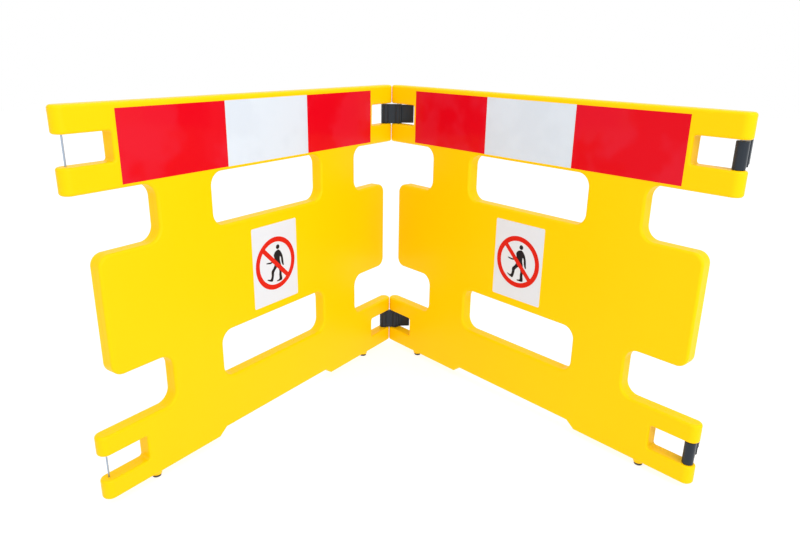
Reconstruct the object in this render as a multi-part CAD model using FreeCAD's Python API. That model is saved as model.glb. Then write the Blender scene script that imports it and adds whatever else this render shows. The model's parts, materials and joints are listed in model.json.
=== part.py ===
"""Two-panel folding barricade, moulded in yellow plastic and linked by clip-on hinge links.

Working frame: Z up, floor at Z = 0, the two hinge rods on the X axis, each half a link spacing
from the origin.  The panels open towards -Y and the V is symmetric about the YZ plane.  The
finished pieces are then shifted, so that the origin lies on the floor under the middle of the
whole barricade's box.
Panel frame: U along the panel from its centre, V through its thickness (front face at -V),
Z up from the panel's bottom edge.
"""
import FreeCAD, Part
import math
import os
from FreeCAD import Placement, Rotation, Vector

# Panel outline
PANEL_LENGTH = 1002.0
PANEL_THICKNESS = 35.0
PANEL_WALL = 3.0
BOTTOM_BEAM_HEIGHT = 145.0
LOWER_WINDOW_HEIGHT = 116.0
MIDDLE_HEIGHT = 250.0
UPPER_WINDOW_HEIGHT = 119.0
TOP_BEAM_HEIGHT = 158.0
MIDDLE_SETBACK = 45.0
MIDDLE_CORNER_RADIUS = 25.0
WINDOW_LENGTH = 356.0
WEB_WIDTH = 138.0
WINDOW_CORNER_RADIUS = 30.0
EDGE_RADIUS = 6.0
RECESS_HEIGHT = 17.0
RECESS_LENGTH = 412.0
RECESS_RUN_OUT = 22.0

# Forked ends and their rods
ROD_DIAMETER = 3.5
ROD_GRIP = 28.0
FORK_GAP = 57.0
FORK_DEPTH = 86.0
BOTTOM_ARM_HEIGHT = 44.0
TOP_ARM_HEIGHT = 50.0
FORK_CORNER_RADIUS = 6.0
FORK_EDGE_RADIUS = 5.0

# Hinge links
FOLD_CLEARANCE = 0.4
LINK_PLAY_BELOW = 0.3
LINK_PLAY_ABOVE = 2.7
BARREL_DIAMETER = 24.0
BARREL_CLEARANCE = 0.1
JAW_OPENING_ANGLE = 100.0
LINK_WEB_THICKNESS = 16.0
TONGUE_END_CLEARANCE = 4.0
TONGUE_THICKNESS = 7.0
TONGUE_INSET = 1.5
LINK_EDGE_RADIUS = 1.5

# Feet
FOOT_INSET = 126.0
GROUND_CLEARANCE = 15.0
FOOT_BOSS_HEIGHT = 8.0
FOOT_BOSS_TOP_DIAMETER = 27.0
FOOT_BOSS_BOTTOM_DIAMETER = 23.0
FOOT_TIP_DIAMETER = 19.0
FOOT_TIP_ROUND = 2.0
FOOT_STEM_DIAMETER = 9.0
FOOT_STEM_LENGTH = 18.0

# Reflective sheets and sign labels
SHEET_END_MARGIN = 9.0
SHEET_MARGIN_BELOW = 7.0
SHEET_MARGIN_ABOVE = 11.0
SHEET_THICKNESS = 0.3
LABEL_WIDTH = 150.0
LABEL_HEIGHT = 200.0
LABEL_DROP = 3.0
LABEL_CORNER_RADIUS = 4.0

# How the barricade stands
PANEL_ANGLE = 75.5
FREE_LINK_ANGLE = 101.0

HALF_LENGTH = PANEL_LENGTH / 2
HALF_THICKNESS = PANEL_THICKNESS / 2
ROD_U = HALF_LENGTH - HALF_THICKNESS
LOWER_WINDOW_BOTTOM = BOTTOM_BEAM_HEIGHT
MIDDLE_BOTTOM = LOWER_WINDOW_BOTTOM + LOWER_WINDOW_HEIGHT
MIDDLE_TOP = MIDDLE_BOTTOM + MIDDLE_HEIGHT
TOP_BEAM_BOTTOM = MIDDLE_TOP + UPPER_WINDOW_HEIGHT
PANEL_HEIGHT = TOP_BEAM_BOTTOM + TOP_BEAM_HEIGHT
WEB_INNER_U = WINDOW_LENGTH / 2
WEB_OUTER_U = WEB_INNER_U + WEB_WIDTH
MIDDLE_END_U = HALF_LENGTH - MIDDLE_SETBACK
FOOT_U = HALF_LENGTH - FOOT_INSET
FORK_WALL_U = ROD_U - FORK_DEPTH
BOTTOM_FORK_Z = BOTTOM_ARM_HEIGHT
TOP_FORK_Z = PANEL_HEIGHT - TOP_ARM_HEIGHT - FORK_GAP
FORK_FLOORS = {"bottom": BOTTOM_FORK_Z, "top": TOP_FORK_Z}
LINK_HEIGHT = FORK_GAP - LINK_PLAY_BELOW - LINK_PLAY_ABOVE
LINK_SPACING = PANEL_THICKNESS + 2 * SHEET_THICKNESS + FOLD_CLEARANCE
TONGUE_REACH = FORK_DEPTH - LINK_SPACING - TONGUE_END_CLEARANCE
TONGUE_HEIGHT = LINK_HEIGHT - 2 * TONGUE_INSET
SHEET_LENGTH = 2 * (FORK_WALL_U - SHEET_END_MARGIN)
SHEET_BOTTOM = TOP_BEAM_BOTTOM + SHEET_MARGIN_BELOW
SHEET_HEIGHT = TOP_BEAM_HEIGHT - SHEET_MARGIN_BELOW - SHEET_MARGIN_ABOVE
LABEL_CENTRE = (MIDDLE_BOTTOM + MIDDLE_TOP) / 2 - LABEL_DROP
BORE_DIAMETER = ROD_DIAMETER + 2 * BARREL_CLEARANCE
UP = Vector(0, 0, 1)
SIDES = {"outer": -1, "inner": 1}


def block(u0, u1, v0, v1, z0, z1):
    """A box between two opposite corners."""
    return Part.makeBox(u1 - u0, v1 - v0, z1 - z0, Vector(u0, v0, z0))


def rounded_block(u0, u1, v0, v1, z0, z1, radius):
    """A box whose four corners, seen along V, are rounded."""
    shape = block(u0, u1, v0, v1, z0, z1)
    corners = [edge for edge in shape.Edges if is_along(edge, Vector(0, 1, 0))]
    return shape.makeFillet(radius, corners)


def is_along(edge, axis):
    """True for a straight edge parallel to an axis."""
    if not isinstance(edge.Curve, Part.Line):
        return False
    return abs(abs(edge.Curve.Direction.dot(axis)) - 1) < 1e-6


def upright(diameter, length, at):
    """A vertical round bar standing on a point."""
    return Part.makeCylinder(diameter / 2, length, at)


def fuse_all(shapes):
    """One clean solid out of overlapping ones."""
    return shapes[0].fuse(shapes[1:]).removeSplitter()


def outline_panel():
    """The moulding seen from the front: three beams, four webs, all at full thickness."""
    back = HALF_THICKNESS
    whole = block(-HALF_LENGTH, HALF_LENGTH, -back, back, 0, PANEL_HEIGHT)
    cuts = []
    for z0, z1 in ((LOWER_WINDOW_BOTTOM, MIDDLE_BOTTOM), (MIDDLE_TOP, TOP_BEAM_BOTTOM)):
        cuts.append(rounded_block(-WEB_INNER_U, WEB_INNER_U, -back, back, z0, z1, WINDOW_CORNER_RADIUS))
        for side in SIDES.values():
            cuts.append(notch(side, z0, z1))
    for side in SIDES.values():
        cuts.append(middle_end(side))
    cuts.append(bottom_recess())
    return whole.cut(cuts)


def notch(side, z0, z1):
    """The open gap at a panel end, between a beam and the middle body."""
    past_end = HALF_LENGTH + 2 * WINDOW_CORNER_RADIUS
    u0, u1 = sorted((side * WEB_OUTER_U, side * past_end))
    return rounded_block(u0, u1, -HALF_THICKNESS, HALF_THICKNESS, z0, z1, WINDOW_CORNER_RADIUS)


def middle_end(side):
    """What is cut off where the middle body stops short of the panel end, with its rounded corners."""
    end = MIDDLE_END_U
    radius = MIDDLE_CORNER_RADIUS
    u0, u1 = sorted((side * (end - radius), side * (HALF_LENGTH + 1)))
    slab = block(u0, u1, -HALF_THICKNESS, HALF_THICKNESS, MIDDLE_BOTTOM, MIDDLE_TOP)
    k0, k1 = sorted((side * (end - 3 * radius), side * end))
    keep = rounded_block(k0, k1, -HALF_THICKNESS, HALF_THICKNESS, MIDDLE_BOTTOM, MIDDLE_TOP, radius)
    return slab.cut(keep)


def bottom_recess():
    """The shallow recess with sloped ends along the middle of the bottom edge."""
    foot = RECESS_LENGTH / 2
    head = foot - RECESS_RUN_OUT
    outline = [(-foot, 0), (-head, RECESS_HEIGHT), (head, RECESS_HEIGHT), (foot, 0), (-foot, 0)]
    points = [Vector(u, -HALF_THICKNESS, z) for u, z in outline]
    return Part.Face(Part.makePolygon(points)).extrude(Vector(0, PANEL_THICKNESS, 0))


def rounded_ends():
    """The plan outline of a panel, full-round at both ends, as a tall solid."""
    bar = block(-ROD_U, ROD_U, -HALF_THICKNESS, HALF_THICKNESS, 0, PANEL_HEIGHT)
    rounds = [upright(PANEL_THICKNESS, PANEL_HEIGHT, Vector(side * ROD_U, 0, 0)) for side in SIDES.values()]
    return fuse_all([bar] + rounds)


def face_edges(shape):
    """The outline edges on the front and back faces, without the seams of the round ends."""
    found = []
    for edge in shape.Edges:
        box = edge.BoundBox
        in_face = abs(abs(box.YMin) - HALF_THICKNESS) < 1e-4 and box.YLength < 1e-4
        seam = is_along(edge, UP) and abs(abs(box.XMin) - ROD_U) < 1e-4
        if in_face and not seam:
            found.append(edge)
    return found


def fork_gap(side, level):
    """The gap that a hinge link turns in, open to the panel end."""
    z0 = FORK_FLOORS[level]
    past_end = HALF_LENGTH + 2 * FORK_CORNER_RADIUS
    u0, u1 = sorted((side * FORK_WALL_U, side * past_end))
    reach = HALF_THICKNESS + 1
    return rounded_block(u0, u1, -reach, reach, z0, z0 + FORK_GAP, FORK_CORNER_RADIUS)


def rod_span(level):
    """The lowest point and the length of a rod held above and below its fork gap."""
    return FORK_FLOORS[level] - ROD_GRIP, FORK_GAP + 2 * ROD_GRIP


def make_rod(side, level):
    """A steel rod across a fork gap."""
    bottom, length = rod_span(level)
    return upright(ROD_DIAMETER, length, Vector(side * ROD_U, 0, bottom))


def hollow():
    """The blow-moulded cavity: beams, middle body and webs, each a wall thickness inside."""
    v = HALF_THICKNESS - PANEL_WALL
    wall = PANEL_WALL
    beam_end = FORK_WALL_U - wall
    middle = MIDDLE_END_U - wall
    parts = [
        block(-beam_end, beam_end, -v, v, RECESS_HEIGHT + wall, BOTTOM_BEAM_HEIGHT - wall),
        rounded_block(-middle, middle, -v, v, MIDDLE_BOTTOM + wall, MIDDLE_TOP - wall, MIDDLE_CORNER_RADIUS),
        block(-beam_end, beam_end, -v, v, TOP_BEAM_BOTTOM + wall, PANEL_HEIGHT - wall),
    ]
    for side in SIDES.values():
        u0, u1 = sorted((side * (WEB_INNER_U + wall), side * (WEB_OUTER_U - wall)))
        parts.append(block(u0, u1, -v, v, RECESS_HEIGHT + wall, PANEL_HEIGHT - wall))
    return fuse_all(parts)


def foot_boss(side):
    """The tapered boss under the bottom edge that carries a rubber tip."""
    top = Vector(side * FOOT_U, 0, -FOOT_BOSS_HEIGHT)
    return Part.makeCone(FOOT_BOSS_BOTTOM_DIAMETER / 2, FOOT_BOSS_TOP_DIAMETER / 2, FOOT_BOSS_HEIGHT, top)


def foot_bore(side):
    """The blind bore that a rubber tip's stem is pressed into."""
    bottom = Vector(side * FOOT_U, 0, -FOOT_BOSS_HEIGHT)
    return upright(FOOT_STEM_DIAMETER, FOOT_STEM_LENGTH, bottom)


def mouth_edges(shape):
    """The edges round the fork gaps: all on the faces, and those across the floors and roofs past the rods."""
    found = []
    for edge in shape.Edges:
        box = edge.BoundBox
        near_u, far_u = sorted((abs(box.XMin), abs(box.XMax)))
        in_face = box.YLength < 1e-4 and abs(abs(box.YMin) - HALF_THICKNESS) < 1e-3
        across_end = is_level(box) and far_u > ROD_U + 1
        if near_u > FORK_WALL_U - 1e-3 and is_in_fork(box) and (in_face or across_end):
            found.append(edge)
    return found


def is_in_fork(box):
    """True for a box within the heights of a fork gap."""
    return any(box.ZMin > z0 - 1e-3 and box.ZMax < z0 + FORK_GAP + 1e-3 for z0 in FORK_FLOORS.values())


def is_level(box):
    """True for a flat box at the floor or the roof of a fork gap."""
    levels = [z for z0 in FORK_FLOORS.values() for z in (z0, z0 + FORK_GAP)]
    return box.ZLength < 1e-4 and any(abs(box.ZMin - z) < 1e-4 for z in levels)


def make_panel():
    """One panel: rounded moulding, fork gaps, rod bores, feet bosses and the cavity."""
    body = outline_panel().common(rounded_ends())
    body = body.makeFillet(EDGE_RADIUS, face_edges(body))
    cuts = [fork_gap(side, level) for side in SIDES.values() for level in FORK_FLOORS]
    body = body.cut(cuts)
    body = body.makeFillet(FORK_EDGE_RADIUS, mouth_edges(body))
    bosses = [foot_boss(side) for side in SIDES.values()]
    body = fuse_all([body] + bosses)
    bores = [make_rod(side, level) for side in SIDES.values() for level in FORK_FLOORS]
    bores += [foot_bore(side) for side in SIDES.values()]
    return body.cut(bores + [hollow()])


def make_foot(side):
    """A rubber tip with its stem, pressed into a foot boss."""
    centre = Vector(side * FOOT_U, 0, -GROUND_CLEARANCE)
    tip = upright(FOOT_TIP_DIAMETER, GROUND_CLEARANCE - FOOT_BOSS_HEIGHT, centre)
    rim = [edge for edge in tip.Edges if edge.BoundBox.ZMax < -GROUND_CLEARANCE + 1e-4]
    tip = tip.makeFillet(FOOT_TIP_ROUND, rim)
    stem_foot = Vector(centre.x, 0, -FOOT_BOSS_HEIGHT)
    return fuse_all([tip, upright(FOOT_STEM_DIAMETER, FOOT_STEM_LENGTH, stem_foot)])


def on_face(facing, u0, u1, z0, z1):
    """A thin sheet lying on the front (-1) or back (1) face of a panel."""
    v0, v1 = sorted((facing * HALF_THICKNESS, facing * (HALF_THICKNESS + SHEET_THICKNESS)))
    return block(u0, u1, v0, v1, z0, z1)


def make_sheet(facing, place):
    """One of the three equal blocks of reflective sheet on the top beam."""
    width = SHEET_LENGTH / 3
    u0 = (place - 0.5) * width
    return on_face(facing, u0, u0 + width, SHEET_BOTTOM, SHEET_BOTTOM + SHEET_HEIGHT)


def make_label(facing):
    """The sign label in the middle of a panel, with rounded corners."""
    half_width = LABEL_WIDTH / 2
    z0 = LABEL_CENTRE - LABEL_HEIGHT / 2
    plate = on_face(facing, -half_width, half_width, z0, z0 + LABEL_HEIGHT)
    corners = [edge for edge in plate.Edges if is_along(edge, Vector(0, 1, 0))]
    return plate.makeFillet(LABEL_CORNER_RADIUS, corners)


def jaw_mouth(height):
    """The flared mouth at the back of the open barrel, where a rod is pushed in."""
    reach = BARREL_DIAMETER
    spread = math.radians(JAW_OPENING_ANGLE / 2)
    sideways = reach * math.tan(spread)
    corners = [(0, 0), (sideways, reach), (-sideways, reach), (0, 0)]
    points = [Vector(LINK_SPACING + x, y, 0) for x, y in corners]
    return Part.Face(Part.makePolygon(points)).extrude(Vector(0, 0, height))


def make_tongue():
    """The thumb tongue beyond the open barrel, shallower than the link, with a round tip."""
    z0 = (LINK_HEIGHT - TONGUE_HEIGHT) / 2
    half = TONGUE_THICKNESS / 2
    start = LINK_SPACING + BARREL_DIAMETER / 2 - LINK_EDGE_RADIUS - 1
    end = LINK_SPACING + TONGUE_REACH - half
    bar = block(start, end, -half, half, z0, z0 + TONGUE_HEIGHT)
    return fuse_all([bar, upright(TONGUE_THICKNESS, TONGUE_HEIGHT, Vector(end, 0, z0))])


def make_link():
    """A hinge link standing on Z = 0: a closed barrel at the origin, an open one along +X, a tongue."""
    centres = [Vector(0, 0, 0), Vector(LINK_SPACING, 0, 0)]
    half = LINK_WEB_THICKNESS / 2
    body = [upright(BARREL_DIAMETER, LINK_HEIGHT, centre) for centre in centres]
    body.append(block(0, LINK_SPACING, -half, half, 0, LINK_HEIGHT))
    link = fuse_all(body)
    rims = [edge for edge in link.Edges if edge.BoundBox.ZLength < 1e-4]
    link = link.makeFillet(LINK_EDGE_RADIUS, rims)
    bores = [upright(BORE_DIAMETER, LINK_HEIGHT, centre) for centre in centres]
    link = link.cut([jaw_mouth(LINK_HEIGHT)])
    return fuse_all([link, make_tongue()]).cut(bores)


def panel_pose(azimuth, hinge_side, rod_x):
    """Where a panel stands: turned about Z, its hinge rod at a given X on the X axis."""
    turn = Rotation(UP, azimuth)
    to_rod = turn.multVec(Vector(hinge_side * ROD_U, 0, 0))
    return Placement(Vector(rod_x, 0, GROUND_CLEARANCE) - to_rod, turn)


LEFT_POSE = panel_pose(90 - PANEL_ANGLE / 2, 1, -LINK_SPACING / 2)
RIGHT_POSE = panel_pose(PANEL_ANGLE / 2 - 90, -1, LINK_SPACING / 2)
PANELS = {"left": (LEFT_POSE, {"outer": -1, "inner": 1}), "right": (RIGHT_POSE, {"inner": -1, "outer": 1})}


def placed(shape, pose):
    """A copy of a shape moved from its own frame to where it stands."""
    moved = shape.copy()
    moved.transformShape(pose.toMatrix())
    return moved


def panel_nodes(name, shell):
    """Everything that belongs to one panel, by node name, in the barricade's frame."""
    pose, ends = PANELS[name]
    nodes = {f"{name}_panel_shell": shell}
    for end, side in ends.items():
        nodes[f"{name}_{end}_foot_tip"] = make_foot(side)
        for level in FORK_FLOORS:
            nodes[f"{name}_{end}_{level}_rod"] = make_rod(side, level)
    for face, facing in {"front": -1, "back": 1}.items():
        for end, side in ends.items():
            nodes[f"{name}_{face}_{end}_red_sheet"] = make_sheet(facing, side)
        nodes[f"{name}_{face}_white_sheet"] = make_sheet(facing, 0)
        nodes[f"{name}_{face}_sign_label"] = make_label(facing)
    return {node: placed(shape, pose) for node, shape in nodes.items()}


def link_pose(rod_at, level, azimuth):
    """Where a hinge link stands: its closed barrel on a rod, its arm along an azimuth."""
    z = GROUND_CLEARANCE + FORK_FLOORS[level] + LINK_PLAY_BELOW
    return Placement(Vector(rod_at.x, rod_at.y, z), Rotation(UP, azimuth))


def turned_over(link):
    """A hinge link upside down, which puts the mouth of its open barrel on the other side."""
    return placed(link, Placement(Vector(0, 0, LINK_HEIGHT), Rotation(Vector(1, 0, 0), 180)))


def rod_position(name, end):
    """The axis of a panel's end rods in the barricade's frame, at floor level."""
    pose, ends = PANELS[name]
    at = pose.multVec(Vector(ends[end] * ROD_U, 0, 0))
    return Vector(at.x, at.y, 0)


def link_nodes():
    """The four hinge links: two joining the panels at the corner, two free at the right end."""
    link = make_link()
    free_azimuth = PANEL_ANGLE / 2 - 90 + FREE_LINK_ANGLE
    nodes = {}
    for level in FORK_FLOORS:
        corner = link_pose(rod_position("left", "inner"), level, 0)
        free = link_pose(rod_position("right", "outer"), level, free_azimuth)
        nodes[f"corner_{level}_link"] = placed(link, corner)
        nodes[f"outer_{level}_link"] = placed(turned_over(link), free)
    return nodes


def base_centre(nodes):
    """The middle of the whole barricade's box, on the floor."""
    box = Part.makeCompound(list(nodes.values())).optimalBoundingBox(False, False)
    return Vector(box.Center.x, box.Center.y, box.ZMin)


def build():
    """All the nodes, with the frame's origin under the middle of the barricade."""
    shell = make_panel()
    nodes = panel_nodes("left", shell)
    nodes.update(panel_nodes("right", shell))
    nodes.update(link_nodes())
    shift = Placement(base_centre(nodes).negative(), Rotation())
    return {node: placed(shape, shift) for node, shape in nodes.items()}


if __name__ == "__main__":
    os.makedirs("parts", exist_ok=True)
    for node, shape in build().items():
        shape.exportStep(f"parts/{node}.step")
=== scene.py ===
import json
import math

import bmesh
import bpy
from mathutils import Matrix, Vector


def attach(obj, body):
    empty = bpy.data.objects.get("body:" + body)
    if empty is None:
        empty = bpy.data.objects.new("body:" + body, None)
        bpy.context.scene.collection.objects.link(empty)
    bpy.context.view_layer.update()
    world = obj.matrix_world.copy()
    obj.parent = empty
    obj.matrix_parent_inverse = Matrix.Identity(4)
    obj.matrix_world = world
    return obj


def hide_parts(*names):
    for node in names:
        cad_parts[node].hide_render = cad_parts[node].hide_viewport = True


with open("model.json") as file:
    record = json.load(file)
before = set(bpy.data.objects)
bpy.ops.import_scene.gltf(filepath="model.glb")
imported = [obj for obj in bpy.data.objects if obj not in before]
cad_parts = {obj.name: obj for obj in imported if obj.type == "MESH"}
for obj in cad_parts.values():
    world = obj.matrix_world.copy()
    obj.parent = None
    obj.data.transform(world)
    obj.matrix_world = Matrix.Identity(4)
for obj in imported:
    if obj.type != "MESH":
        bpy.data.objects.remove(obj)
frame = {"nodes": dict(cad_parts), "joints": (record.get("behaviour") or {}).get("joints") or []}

bl_info = {
    "name": "Folding barricade",
    "version": (1, 0, 0),
    "blender": (4, 5, 0),
    "location": "3D View > Sidebar > Barricade",
    "description": "Dresses a folding pedestrian barricade: mouldings, striped sheets, signs, links and feet",
    "category": "Object",
}

MM = 0.001
UP = Vector((0, 0, 1))
SIDES = ("left", "right")
FACES = ("front", "back")
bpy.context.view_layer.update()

# Each lamp: the stage setting that holds its power, the side of its square and where it hangs.
LAMPS = {
    "key_lamp": ("key_power", 2.4, (1.7, -2.9, 2.1)),
    "fill_lamp": ("fill_power", 2.4, (-1.8, -2.9, 2.0)),
    "top_lamp": ("top_power", 2.8, (0.0, -0.2, 3.2)),
}
LAMP_AIM = Vector((0, -0.45, 0.4))  # what the lamps point at, from the foot of the corner
SENSOR_WIDTH = 36

# A sheet is inset from its CAD solid, is flat along its rim and is meshed as a grid.
SHEET_INSET = 0.15 * MM
SHEET_RIM = 3 * MM
SHEET_COLUMNS = 84
SHEET_ROWS = 46
SKIRT_LIFT = 0.01 * MM

# Air trapped under one sheet: where each bubble is from the sheet's centre, and its radius.
BUBBLED_SHEET = "left_front_outer_red_sheet"
BUBBLES = (((-0.119, 0.030), 3.5 * MM), ((0.022, -0.012), 17 * MM))
RIPPLE_SHIFT = 1.7  # sets each sheet's ripple apart from the last one's

# The signs' prints lie one over another: the ring over the bar, and the bar over the figure.
FIGURE_LAYER = 0.5  # the figure's top, as a share of the ink depth
RING_LAYER = 1.25  # the ring's top, as a share of the ink depth
FIGURE_SHIFT = 0.07  # how far right the figure stands, as a share of its height
BAR_SLOPE = math.radians(-45)

# Wear and marks of the finishes, and the painted reflection on the sheets.
PAINTED_SHEEN_AMOUNT = 0.5  # how far a patch of painted reflection goes towards the pale sheen colour
SEAM_CREST = 0.3  # the level top of the parting line, as a share of its half width
RUBBED_LIFT = 0.02  # how much paler a rubbed link is
DUST = (0.20, 0.19, 0.17)
DUST_HEIGHT = 5 * MM


# ---------------------------------------------------------------- where things are


def joint(name):
    """A joint of the frame by its name."""
    return next(j for j in frame["joints"] if j["name"] == name)


# A panel folds flat at its hinge's lower limit, so that limit is half the angle between the two.
HALF_ANGLE = math.radians(-joint("left_hinge")["range_deg"][0])
CORNER = (Vector(joint("left_hinge")["pos_m"]) + Vector(joint("right_hinge")["pos_m"])) / 2


def face_frame(side, face):
    """Axes of a panel's face as a reader sees it: right, up and out of the face, at the corner."""
    azimuth = math.pi / 2 - HALF_ANGLE
    if side == "right":
        azimuth = -azimuth
    right = Vector((math.cos(azimuth), math.sin(azimuth), 0))
    if face == "back":
        right = -right
    out = right.cross(UP)
    turn = Matrix((right, UP, out)).transposed().to_4x4()
    return Matrix.Translation(Vector((CORNER.x, CORNER.y, 0))) @ turn


def span(node, axes):
    """Lowest and highest corner of a CAD node in a face's own axes."""
    inverse = axes.inverted()
    points = [inverse @ vertex.co for vertex in frame["nodes"][node].data.vertices]
    low = Vector(min(p[i] for p in points) for i in range(3))
    high = Vector(max(p[i] for p in points) for i in range(3))
    return low, high


def nodes_ending(*endings):
    """The CAD nodes whose names end in one of some words."""
    return [name for name in frame["nodes"] if name.endswith(endings)]


# ---------------------------------------------------------------- sizes and colours


def colour_property(name, description, default):
    """An RGB colour that a user may change."""
    return bpy.props.FloatVectorProperty(
        name=name, description=description, default=default, size=3, min=0, max=1, subtype="COLOR"
    )


def length_property(name, description, default):
    """A length that a user may change, in metres."""
    return bpy.props.FloatProperty(
        name=name, description=description, default=default, min=0, subtype="DISTANCE", unit="LENGTH"
    )


def factor_property(name, description, default):
    """A number from 0 to 1 that a user may change."""
    return bpy.props.FloatProperty(
        name=name, description=description, default=default, min=0, max=1, subtype="FACTOR"
    )


def angle_property(name, description, degrees):
    """An angle that a user may change, stored in radians."""
    return bpy.props.FloatProperty(
        name=name, description=description, default=math.radians(degrees), subtype="ANGLE", unit="ROTATION"
    )


def power_property(name, description, default):
    """A lamp's power in watts."""
    return bpy.props.FloatProperty(name=name, description=description, default=default, min=0, unit="POWER")


class BarricadeColours(bpy.types.PropertyGroup):
    """Colours and gloss of the barricade's finishes."""

    moulding: colour_property("Moulding", "Through-coloured plastic of the panels", (0.93, 0.560, 0.0))
    moulding_gloss: factor_property("Moulding roughness", "Roughness of the moulded skin", 0.36)
    red: colour_property("Red sheet", "Red reflective sheet", (0.65, 0.0, 0.008))
    # The next colour is painted reflection: pale pink patches on the red sheet that stand in for a soft
    # lamp's sheen.
    red_painted_sheen: colour_property("Red haze", "Hazed patches of the red sheet", (0.64, 0.012, 0.030))
    white: colour_property("White sheet", "White reflective sheet", (0.585, 0.65, 0.73))
    # The next colour is painted reflection: paler patches on the white sheet that stand in for a soft lamp's
    # sheen.
    white_painted_sheen: colour_property("White haze", "Hazed patches of the white sheet", (0.63, 0.70, 0.78))
    label: colour_property("Label", "White face of the sign", (0.66, 0.70, 0.77))
    red_ink: colour_property("Red ink", "Ring and bar of the sign", (0.62, 0.010, 0.004))
    black_ink: colour_property("Black ink", "Walking figure of the sign", (0.008, 0.006, 0.012))
    link: colour_property("Link", "Black plastic of the hinge links", (0.010, 0.016, 0.025))
    rubber: colour_property("Rubber", "Foot tips", (0.022, 0.021, 0.02))
    steel: colour_property("Steel", "Zinc plating of the rods", (0.36, 0.43, 0.54))


class BarricadePrint(bpy.types.PropertyGroup):
    """Sizes of the sheets, of the printing on the signs and of the moulding's seam."""

    ring_radius: length_property("Ring radius", "Outer radius of the sign's red ring", 66.5 * MM)
    ring_width: length_property("Ring width", "Width of the ring's band", 12.5 * MM)
    bar_width: length_property("Bar width", "Width of the bar across the ring", 11.5 * MM)
    figure_height: length_property("Figure height", "Height of the walking figure", 96 * MM)
    figure_breadth: bpy.props.FloatProperty(
        name="Figure breadth", description="Breadth against the drawn figure", default=1.16, min=0.5, max=2
    )
    ink_depth: length_property("Ink depth", "How far the print stands off the label", 0.12 * MM)
    sheet_wave: length_property("Sheet wave", "How far a stuck sheet ripples", 0.04 * MM)
    bubble_depth: length_property("Bubble depth", "Height of the air under the bubbled sheet", 0.08 * MM)
    seam_width: length_property("Seam width", "Half width of the mould's parting line", 0.7 * MM)
    seam_height: length_property("Seam height", "How far the parting line seems to stand up", 0.35 * MM)


class BarricadeStage(bpy.types.PropertyGroup):
    """Floor, lamps and camera."""

    floor_size: length_property("Floor size", "Side of the studio floor", 16.0)
    floor_colour: colour_property("Floor", "Pale studio paper", (0.35, 0.35, 0.35))
    floor_glow: factor_property("Floor glow", "Light that comes through the floor's paper", 0.76)
    sky: factor_property("Surround light", "Strength of the white surroundings", 1.0)
    key_power: power_property("Key lamp", "Large soft lamp on the right", 52.0)
    fill_power: power_property("Fill lamp", "Large soft lamp on the left", 6.0)
    top_power: power_property("Top lamp", "Large soft lamp overhead", 20.0)
    camera_right: bpy.props.FloatProperty(
        name="Camera right", description="Camera to the right of the corner", default=-0.102, unit="LENGTH"
    )
    camera_back: length_property("Camera distance", "Camera in front of the corner", 1.961)
    camera_height: length_property("Camera height", "Camera above the floor", 0.902)
    camera_turn: angle_property("Camera turn", "Turn to the left about the vertical", -3.90)
    camera_dip: angle_property("Camera dip", "How far it looks down", 18.12)
    camera_tilt: angle_property("Camera tilt", "Tilt of the horizon", 0.946)
    focal: bpy.props.FloatProperty(
        name="Focal length", description="Lens on a 36 mm wide sensor, in mm", default=29.97, unit="CAMERA"
    )


# ---------------------------------------------------------------- shader graphs


class Wire:
    """An output socket that Python's operators turn into Math nodes."""

    def __init__(self, graph, socket):
        self.graph = graph
        self.socket = socket

    def math(self, operation, *values):
        return self.graph.node("ShaderNodeMath", {"operation": operation}, dict(enumerate(values)))

    def __add__(self, other):
        return self.math("ADD", self, other)

    def __sub__(self, other):
        return self.math("SUBTRACT", self, other)

    def __rsub__(self, other):
        return self.math("SUBTRACT", other, self)

    def __mul__(self, other):
        return self.math("MULTIPLY", self, other)

    def size(self):
        """The value without its sign."""
        return self.math("ABSOLUTE", self)

    __radd__ = __add__
    __rmul__ = __mul__


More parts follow.
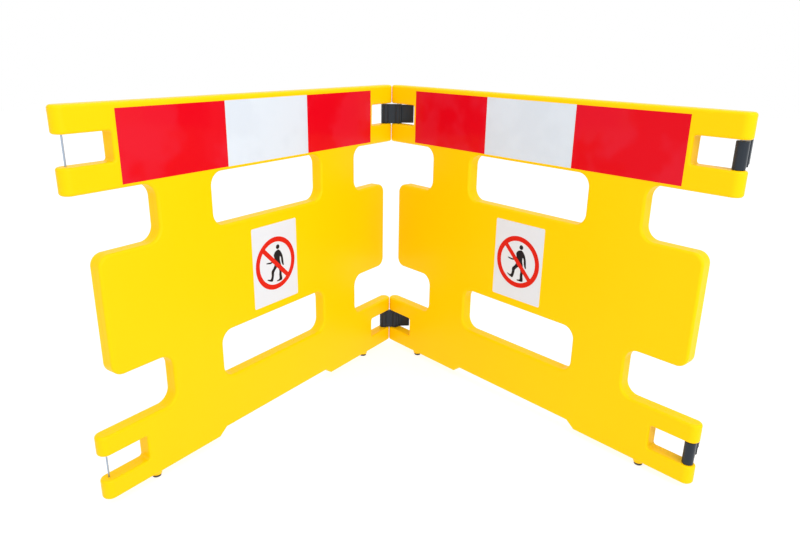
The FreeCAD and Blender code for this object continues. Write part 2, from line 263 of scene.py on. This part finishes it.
class Graph:
    """A material's nodes."""

    def __init__(self, name):
        self.material = bpy.data.materials.new(name)
        self.material.use_nodes = True
        self.tree = self.material.node_tree
        self.tree.nodes.clear()

    def node(self, kind, settings=None, sockets=None, output=0):
        """Adds a node of any kind: its settings first, then its sockets' values or links."""
        node = self.tree.nodes.new(kind)
        for key, value in (settings or {}).items():
            setattr(node, key, value)
        for key, value in (sockets or {}).items():
            if isinstance(value, Wire):
                self.tree.links.new(value.socket, node.inputs[key])
            else:
                node.inputs[key].default_value = value
        return Wire(self, node.outputs[output])

    def place(self):
        """The point being shaded, in the part's own frame at rest."""
        return self.node("ShaderNodeTexCoord", output="Object")

    def noise(self, scale, detail=3.0, roughness=0.55, stretch=(1, 1, 1)):
        """Smooth noise between 0 and 1, drawn out along an axis by a stretch under 1."""
        at = self.node("ShaderNodeMapping", {}, {"Vector": self.place(), "Scale": stretch})
        sockets = {"Vector": at, "Scale": scale, "Detail": detail, "Roughness": roughness}
        return self.node("ShaderNodeTexNoise", {}, sockets)

    def ramp(self, value, low, high):
        """0 below low, 1 above high, smooth between."""
        sockets = {"Value": value, "From Min": low, "From Max": high}
        return self.node("ShaderNodeMapRange", {"interpolation_type": "SMOOTHSTEP"}, sockets)

    def mix(self, factor, first, second):
        """A colour between two colours."""
        settings = {"data_type": "RGBA"}
        return self.node("ShaderNodeMix", settings, {0: factor, 6: first, 7: second}, output=2)

    def bump(self, height, distance, strength=1.0, under=None):
        """A bumped normal from a height between 0 and 1."""
        sockets = {"Height": height, "Distance": distance, "Strength": strength}
        if under is not None:
            sockets["Normal"] = under
        return self.node("ShaderNodeBump", {}, sockets)

    def finish(self, **sockets):
        """Closes the graph with a Principled shader; names use _ for a space."""
        named = {key.replace("_", " "): value for key, value in sockets.items()}
        shader = self.node("ShaderNodeBsdfPrincipled", {}, named)
        self.node_output(shader)
        return self.material

    def node_output(self, shader):
        """Wires a shader to the material's surface."""
        end = self.tree.nodes.new("ShaderNodeOutputMaterial")
        self.tree.links.new(shader.socket, end.inputs["Surface"])


def rgba(colour, factor=1.0):
    """A colour with an alpha of 1, lightened or darkened by a factor."""
    return tuple(min(1.0, channel * factor) for channel in colour) + (1.0,)


def from_middle(graph, side):
    """How far the shaded point is from the plane midway through a panel's thickness."""
    axes = face_frame(side, "front")
    low, high = span(f"{side}_panel_shell", axes)
    out = axes.to_3x3().col[2]
    sockets = {0: graph.place(), 1: tuple(out)}
    across = graph.node("ShaderNodeVectorMath", {"operation": "DOT_PRODUCT"}, sockets, output="Value")
    return (across - (out.dot(axes.translation) + (low.z + high.z) / 2)).size()


def moulded_plastic(side, colours, sizes):
    """Blow-moulded yellow plastic: slow waves in the wall, a fine skin, the parting line, faint scuffs."""
    graph = Graph(f"{side}_moulding")
    cloud = graph.noise(3.2, 2.0)
    flow = graph.noise(9.0, 3.0, stretch=(1, 1, 0.25))
    scuff = graph.ramp(graph.noise(46.0, 6.0, 0.7, stretch=(1, 1, 0.3)), 0.62, 0.76)
    body = graph.mix(cloud * 0.6 + flow * 0.4, rgba(colours.moulding, 0.965), rgba(colours.moulding, 1.03))
    rough = colours.moulding_gloss + scuff * 0.16 + (flow - 0.5) * 0.10
    wall = graph.bump(cloud, 2.2 * MM, 0.5)
    seam = 1 - graph.ramp(from_middle(graph, side), sizes.seam_width * SEAM_CREST, sizes.seam_width)
    parting = graph.bump(seam, sizes.seam_height, 1.0, wall)
    normal = graph.bump(graph.noise(900.0, 2.0, 0.5), 0.03 * MM, 0.6, parting)
    return graph.finish(
        Base_Color=body, Roughness=rough, Normal=normal, IOR=1.46, Specular_IOR_Level=0.10,
    )


def reflective_sheet(name, colour, painted_sheen_colour):
    """Reflective sheet: fine prism cells seen through a clear film of varying roughness, with soft pale
    patches of painted reflection.
    """
    graph = Graph(name)
    cells = graph.node(
        "ShaderNodeTexVoronoi", {"feature": "DISTANCE_TO_EDGE"},
        {"Vector": graph.place(), "Scale": 330.0, "Randomness": 0.35},
    )
    wall = 1 - graph.ramp(cells, 0.02, 0.10)
    haze = graph.noise(14.0, 4.0, 0.6)
    # Painted reflection: soft pale patches mixed into the colour stand in for the soft lamps' sheen on the
    # film.
    sheen_patch = graph.ramp(graph.noise(5.5, 3.0, 0.6), 0.47, 0.58)
    base = graph.mix(wall * 0.10, rgba(colour), rgba(colour, 0.82))
    base = graph.mix(sheen_patch * PAINTED_SHEEN_AMOUNT, base, rgba(painted_sheen_colour))
    rough = 0.30 + haze * 0.16
    normal = graph.bump(haze, 0.22 * MM, 0.5)
    return graph.finish(
        Base_Color=base, Roughness=rough, Normal=normal, IOR=1.46, Specular_IOR_Level=0.06,
        Coat_Weight=0.10, Coat_Roughness=0.08,
    )


def vinyl(name, colour, roughness):
    """Printed vinyl: even colour with a faint tooth."""
    graph = Graph(name)
    tooth = graph.noise(420.0, 3.0, 0.6)
    tone = graph.noise(18.0, 3.0)
    base = graph.mix(tone * 0.5, rgba(colour, 0.97), rgba(colour, 1.03))
    normal = graph.bump(tooth, 0.02 * MM, 0.4)
    return graph.finish(
        Base_Color=base, Roughness=roughness + tooth * 0.08, Normal=normal, Specular_IOR_Level=0.12,
    )


def link_plastic(colours):
    """Black glass-filled plastic: fine sparkle grain, rubbed paler in random patches."""
    graph = Graph("black_link")
    grain = graph.noise(1100.0, 3.0, 0.6)
    rub = graph.ramp(graph.noise(60.0, 5.0, 0.7, stretch=(1, 1, 0.2)), 0.52, 0.78)
    base = graph.mix(rub * 0.5, rgba(colours.link), rgba(tuple(c + RUBBED_LIFT for c in colours.link)))
    rough = 0.30 + grain * 0.08 + rub * 0.12
    normal = graph.bump(grain, 0.05 * MM, 0.6)
    return graph.finish(Base_Color=base, Roughness=rough, Normal=normal, IOR=1.5, Specular_IOR_Level=0.32)


def foot_rubber(colours):
    """Black rubber with dust pressed in low down."""
    graph = Graph("rubber_tip")
    height = graph.node("ShaderNodeSeparateXYZ", {}, {"Vector": graph.place()}, output="Z")
    dust = (1 - graph.ramp(height, 0.0, DUST_HEIGHT)) * graph.noise(240.0, 4.0, 0.7)
    base = graph.mix(dust * 0.8, rgba(colours.rubber), rgba(DUST))
    normal = graph.bump(graph.noise(520.0, 4.0, 0.7), 0.12 * MM, 0.7)
    return graph.finish(Base_Color=base, Roughness=0.72 + dust * 0.2, Normal=normal)


def plated_steel(colours):
    """Zinc-plated rod: drawn lengthwise, slightly cloudy."""
    graph = Graph("steel_rod")
    drawn = graph.noise(900.0, 3.0, 0.6, stretch=(1, 1, 0.03))
    cloud = graph.noise(70.0, 4.0, 0.6)
    base = graph.mix(cloud, rgba(colours.steel, 0.88), rgba(colours.steel, 1.12))
    normal = graph.bump(drawn, 0.03 * MM, 0.7)
    return graph.finish(Base_Color=base, Roughness=0.26 + cloud * 0.14, Metallic=1.0, Normal=normal)


def studio_paper(colour, glow):
    """Pale paper lit from behind."""
    graph = Graph("studio_paper")
    tone = graph.noise(2.0, 2.0)
    base = graph.mix(tone, rgba(colour, 0.99), rgba(colour, 1.01))
    return graph.finish(
        Base_Color=base, Roughness=0.9, Specular_IOR_Level=0.1,
        Emission_Color=(1, 1, 1, 1), Emission_Strength=glow,
    )


def dress(node, material):
    """Gives a CAD node a material in every slot."""
    mesh = frame["nodes"][node].data
    mesh.materials.clear()
    mesh.materials.append(material)


# ---------------------------------------------------------------- mesh helpers


def new_piece(name, bm, material, body, axes=None, smooth=True):
    """Turns a bmesh in a face's axes into a piece that rides on a body."""
    if axes is not None:
        bm.transform(axes)
    bmesh.ops.recalc_face_normals(bm, faces=bm.faces)
    mesh = bpy.data.meshes.new(name)
    bm.to_mesh(mesh)
    bm.free()
    for polygon in mesh.polygons:
        polygon.use_smooth = smooth
    mesh.materials.append(material)
    piece = bpy.data.objects.new(name, mesh)
    bpy.context.collection.objects.link(piece)
    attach(piece, body)
    return piece


def prism(bm, outline, low, high):
    """A flat plate with a given outline between two heights."""
    bottom = [bm.verts.new((x, y, low)) for x, y in outline]
    face = bm.faces.new(bottom)
    lifted = bmesh.ops.extrude_face_region(bm, geom=[face])
    verts = [item for item in lifted["geom"] if isinstance(item, bmesh.types.BMVert)]
    bmesh.ops.translate(bm, verts=verts, vec=(0, 0, high - low))


def arc(centre, radius, start, end, steps):
    """Points along an arc, angles in degrees."""
    points = []
    for step in range(steps + 1):
        turn = math.radians(start + (end - start) * step / steps)
        points.append((centre[0] + radius * math.cos(turn), centre[1] + radius * math.sin(turn)))
    return points


def ring(bm, outer, inner, low, high, steps=96):
    """A flat ring about the origin between two heights."""
    rows = []
    for radius, height in ((outer, low), (outer, high), (inner, high), (inner, low)):
        rows.append([bm.verts.new((x, y, height)) for x, y in arc((0, 0), radius, 0, 360, steps)[:-1]])
    for row in range(4):
        here, there = rows[row], rows[(row + 1) % 4]
        for i in range(steps):
            j = (i + 1) % steps
            bm.faces.new((here[i], here[j], there[j], there[i]))


# ---------------------------------------------------------------- the signs' print

# The head's centre and radius, and the body's outline from the neck round, for a figure 1 high.
HEAD = ((0.02, 0.915), 0.062)
WALKER = (
    (0.00, 0.835), (-0.07, 0.80), (-0.115, 0.72), (-0.10, 0.615), (-0.20, 0.565), (-0.325, 0.575),
    (-0.335, 0.548), (-0.21, 0.522), (-0.105, 0.548), (-0.09, 0.50), (-0.13, 0.40), (-0.20, 0.31),
    (-0.205, 0.19), (-0.24, 0.115), (-0.325, 0.135), (-0.325, 0.11), (-0.215, 0.045), (-0.165, 0.065),
    (-0.13, 0.20), (-0.115, 0.28), (-0.02, 0.375), (0.035, 0.28), (0.03, 0.17), (0.03, 0.055),
    (-0.045, 0.025), (-0.035, 0.0), (0.10, 0.0), (0.12, 0.06), (0.105, 0.17), (0.115, 0.29),
    (0.095, 0.43), (0.07, 0.55), (0.075, 0.645), (0.105, 0.60), (0.115, 0.49), (0.15, 0.395),
    (0.185, 0.385), (0.18, 0.45), (0.165, 0.60), (0.13, 0.72), (0.08, 0.80), (0.04, 0.835),
)


def rounded_outline(points, scale, breadth, shift, steps=4):
    """A closed outline through set points, smoothed with a Catmull-Rom curve and broadened."""
    count = len(points)
    smooth = []
    for i in range(count):
        p0, p1, p2, p3 = (Vector(points[(i + k) % count]) for k in (-1, 0, 1, 2))
        for step in range(steps):
            t = step / steps
            cubic = (3 * p1 - p0 - 3 * p2 + p3) * t ** 3
            square = (2 * p0 - 5 * p1 + 4 * p2 - p3) * t ** 2
            point = (2 * p1 + (p2 - p0) * t + square + cubic) / 2
            smooth.append((point.x * scale * breadth + shift[0], point.y * scale + shift[1]))
    return smooth


def print_figure(side, face, base, sizes, ink):
    """The black walking figure, centred in the ring."""
    bm = bmesh.new()
    height = sizes.figure_height
    shift = (FIGURE_SHIFT * height, -height / 2)
    top = sizes.ink_depth * FIGURE_LAYER
    prism(bm, rounded_outline(WALKER, height, sizes.figure_breadth, shift), 0, top)
    centre = (HEAD[0][0] * height + shift[0], HEAD[0][1] * height + shift[1])
    prism(bm, arc(centre, HEAD[1] * height, start=0, end=360, steps=32)[:-1], 0, top)
    new_piece(f"{side}_{face}_sign_figure", bm, ink, f"{side}_panel", base, smooth=False)


def print_bar(side, face, base, sizes, ink):
    """The red bar from upper left to lower right, ending inside the ring's band."""
    bm = bmesh.new()
    length = 2 * (sizes.ring_radius - sizes.ring_width / 2)
    half = sizes.bar_width / 2
    outline = ((-length / 2, -half), (length / 2, -half), (length / 2, half), (-length / 2, half))
    prism(bm, outline, 0, sizes.ink_depth)
    bm.transform(Matrix.Rotation(BAR_SLOPE, 4, "Z"))
    new_piece(f"{side}_{face}_sign_bar", bm, ink, f"{side}_panel", base, smooth=False)


def print_ring(side, face, base, sizes, ink):
    """The red ring."""
    bm = bmesh.new()
    outer = sizes.ring_radius
    ring(bm, outer, outer - sizes.ring_width, 0, sizes.ink_depth * RING_LAYER)
    new_piece(f"{side}_{face}_sign_ring", bm, ink, f"{side}_panel", base, smooth=False)


# ---------------------------------------------------------------- the striped sheets


def ripple(x, y, seed):
    """Height of a stuck sheet's ripple between -1 and 1, from a few crossing waves."""
    first = math.sin(41 * x + 17 * y + seed) * math.sin(29 * y - 13 * x + 2.1 * seed)
    second = math.sin(97 * x - 61 * y + 3.7 * seed) * 0.35
    return (first + second) / 1.35


def bubble(x, y, centre, radius):
    """A smooth bump of height 1 about a point."""
    far = math.hypot(x - centre[0], y - centre[1]) / radius
    return max(0.0, 1 - far * far) ** 2


def sheet_grid(bm, centre, width, depth, top, height):
    """A grid of faces whose height above a level is given by a function."""
    grid = []
    for row in range(SHEET_ROWS + 1):
        y = depth * (row / SHEET_ROWS - 0.5)
        line = []
        for column in range(SHEET_COLUMNS + 1):
            x = width * (column / SHEET_COLUMNS - 0.5)
            line.append(bm.verts.new((centre.x + x, centre.y + y, top + height(x, y))))
        grid.append(line)
    for near, far in zip(grid, grid[1:]):
        for column in range(SHEET_COLUMNS):
            bm.faces.new((near[column], near[column + 1], far[column + 1], far[column]))


def close_sheet(bm, level):
    """Drops a skirt from the grid's rim to a level and closes the bottom."""
    edges = [edge for edge in bm.edges if edge.is_boundary]
    skirt = bmesh.ops.extrude_edge_only(bm, edges=edges)["geom"]
    for vertex in skirt:
        if isinstance(vertex, bmesh.types.BMVert):
            vertex.co.z = level
    rim = [edge for edge in bm.edges if edge.is_boundary]
    bmesh.ops.holes_fill(bm, edges=rim, sides=0)


def make_sheet(node, side, face, seed, sizes, material, bubbles):
    """One sheet: a fine grid that ripples, closed down to the moulding."""
    axes = face_frame(side, face)
    low, high = span(node, axes)
    width = high.x - low.x - 2 * SHEET_INSET
    depth = high.y - low.y - 2 * SHEET_INSET

    def height(x, y):
        rim = min(1.0, (width / 2 - abs(x)) / SHEET_RIM, (depth / 2 - abs(y)) / SHEET_RIM)
        raised = sum(sizes.bubble_depth * bubble(x, y, at, radius) for at, radius in bubbles)
        return sizes.sheet_wave * ripple(x, y, seed) * rim + raised

    bm = bmesh.new()
    top = high.z - sizes.bubble_depth - sizes.sheet_wave
    sheet_grid(bm, (low + high) / 2, width, depth, top, height)
    close_sheet(bm, low.z + SKIRT_LIFT)
    piece = new_piece(f"{node}_film", bm, material, f"{side}_panel", axes, smooth=False)
    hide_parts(node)


# ---------------------------------------------------------------- operators


class BARRICADE_OT_mouldings(bpy.types.Operator):
    """Finish the yellow panels"""

    bl_idname = "barricade.mouldings"
    bl_label = "Panel mouldings"

    def execute(self, context):
        colours = context.scene.barricade_colours
        for side in SIDES:
            dress(f"{side}_panel_shell", moulded_plastic(side, colours, context.scene.barricade_print))
        return {"FINISHED"}


class BARRICADE_OT_sheets(bpy.types.Operator):
    """Lay the red and white reflective sheets"""

    bl_idname = "barricade.sheets"
    bl_label = "Reflective sheets"

    def execute(self, context):
        colours = context.scene.barricade_colours
        red = reflective_sheet("red_sheet", colours.red, colours.red_painted_sheen)
        white = reflective_sheet("white_sheet", colours.white, colours.white_painted_sheen)
        sizes = context.scene.barricade_print
        for row, node in enumerate(nodes_ending("_sheet")):
            side, face = node.split("_")[:2]
            bubbles = BUBBLES if node == BUBBLED_SHEET else ()
            material = red if "red" in node else white
            make_sheet(node, side, face, row * RIPPLE_SHIFT, sizes, material, bubbles)
        return {"FINISHED"}


class BARRICADE_OT_signs(bpy.types.Operator):
    """Print the no-pedestrians signs"""

    bl_idname = "barricade.signs"
    bl_label = "Sign labels"

    def execute(self, context):
        colours = context.scene.barricade_colours
        sizes = context.scene.barricade_print
        paper = vinyl("sign_label", colours.label, 0.34)
        red = vinyl("red_ink", colours.red_ink, 0.32)
        black = vinyl("black_ink", colours.black_ink, 0.36)
        for side in SIDES:
            for face in FACES:
                label = f"{side}_{face}_sign_label"
                dress(label, paper)
                axes = face_frame(side, face)
                low, high = span(label, axes)
                middle = (low + high) / 2
                base = axes @ Matrix.Translation((middle.x, middle.y, high.z))
                print_figure(side, face, base, sizes, black)
                print_bar(side, face, base, sizes, red)
                print_ring(side, face, base, sizes, red)
        return {"FINISHED"}


class BARRICADE_OT_links(bpy.types.Operator):
    """Finish the hinge links and the rods they turn on"""

    bl_idname = "barricade.links"
    bl_label = "Links and rods"

    def execute(self, context):
        colours = context.scene.barricade_colours
        plastic = link_plastic(colours)
        steel = plated_steel(colours)
        for node in nodes_ending("_link"):
            dress(node, plastic)
        for node in nodes_ending("_rod"):
            dress(node, steel)
        return {"FINISHED"}


class BARRICADE_OT_feet(bpy.types.Operator):
    """Finish the rubber foot tips"""

    bl_idname = "barricade.feet"
    bl_label = "Foot tips"

    def execute(self, context):
        rubber = foot_rubber(context.scene.barricade_colours)
        for node in nodes_ending("_foot_tip"):
            dress(node, rubber)
        return {"FINISHED"}


class BARRICADE_OT_stage(bpy.types.Operator):
    """Set up the floor, the lamps and the camera"""

    bl_idname = "barricade.stage"
    bl_label = "Stage"

    def execute(self, context):
        stage = context.scene.barricade_stage
        make_floor(stage)
        make_surround(context.scene, stage)
        target = Vector((CORNER.x, CORNER.y, 0)) + LAMP_AIM
        for name, (power, size, at) in LAMPS.items():
            add_lamp(name, getattr(stage, power), size, Vector(at), target)
        add_camera(context.scene, stage)
        return {"FINISHED"}


def make_floor(stage):
    """A sheet of studio paper that the barricade stands on."""
    bm = bmesh.new()
    bmesh.ops.create_grid(bm, x_segments=8, y_segments=8, size=stage.floor_size / 2)
    mesh = bpy.data.meshes.new("studio_floor")
    bm.to_mesh(mesh)
    bm.free()
    mesh.materials.append(studio_paper(stage.floor_colour, stage.floor_glow))
    floor = bpy.data.objects.new("studio_floor", mesh)
    bpy.context.collection.objects.link(floor)


def make_surround(scene, stage):
    """Even white light from all round."""
    world = bpy.data.worlds.new("studio")
    world.use_nodes = True
    world.node_tree.nodes["Background"].inputs["Color"].default_value = (1, 1, 1, 1)
    world.node_tree.nodes["Background"].inputs["Strength"].default_value = stage.sky
    scene.world = world
    scene.view_settings.view_transform = "Standard"


def add_lamp(name, power, size, at, target):
    """A large square lamp aimed at a point."""
    data = bpy.data.lights.new(name, "AREA")
    data.energy = power
    data.size = size
    lamp = bpy.data.objects.new(name, data)
    lamp.location = at
    lamp.rotation_euler = (target - at).to_track_quat("-Z", "Y").to_euler()
    bpy.context.collection.objects.link(lamp)


def add_camera(scene, stage):
    """The camera, placed from the corner where the panels meet."""
    data = bpy.data.cameras.new("camera")
    data.sensor_width = SENSOR_WIDTH
    data.lens = stage.focal
    camera = bpy.data.objects.new("camera", data)
    place = Vector((CORNER.x + stage.camera_right, CORNER.y - stage.camera_back, stage.camera_height))
    turn = Matrix.Rotation(stage.camera_turn, 4, "Z")
    dip = Matrix.Rotation(math.pi / 2 - stage.camera_dip, 4, "X")
    tilt = Matrix.Rotation(stage.camera_tilt, 4, "Z")
    camera.matrix_world = Matrix.Translation(place) @ turn @ dip @ tilt
    bpy.context.collection.objects.link(camera)
    scene.camera = camera


OPERATORS = (
    BARRICADE_OT_stage,
    BARRICADE_OT_mouldings,
    BARRICADE_OT_sheets,
    BARRICADE_OT_signs,
    BARRICADE_OT_links,
    BARRICADE_OT_feet,
)


class BARRICADE_PT_tools(bpy.types.Panel):
    """Lists the barricade's operators."""

    bl_idname = "BARRICADE_PT_tools"
    bl_label = "Folding barricade"
    bl_space_type = "VIEW_3D"
    bl_region_type = "UI"
    bl_category = "Barricade"

    def draw(self, context):
        for operator in OPERATORS:
            self.layout.operator(operator.bl_idname)


GROUPS = {
    "barricade_colours": BarricadeColours,
    "barricade_print": BarricadePrint,
    "barricade_stage": BarricadeStage,
}


def register():
    """Registers the classes and hangs the settings on the scene."""
    for group in GROUPS.values():
        bpy.utils.register_class(group)
    for name, group in GROUPS.items():
        setattr(bpy.types.Scene, name, bpy.props.PointerProperty(type=group))
    for operator in OPERATORS:
        bpy.utils.register_class(operator)
    bpy.utils.register_class(BARRICADE_PT_tools)


def unregister():
    """Takes back what register did."""
    bpy.utils.unregister_class(BARRICADE_PT_tools)
    for operator in reversed(OPERATORS):
        bpy.utils.unregister_class(operator)
    for name, group in GROUPS.items():
        delattr(bpy.types.Scene, name)
        bpy.utils.unregister_class(group)


def main():
    """Runs every operator in order."""
    register()
    for operator in OPERATORS:
        getattr(bpy.ops.barricade, operator.bl_idname.split(".")[1])()


if __name__ == "__main__":
    main()
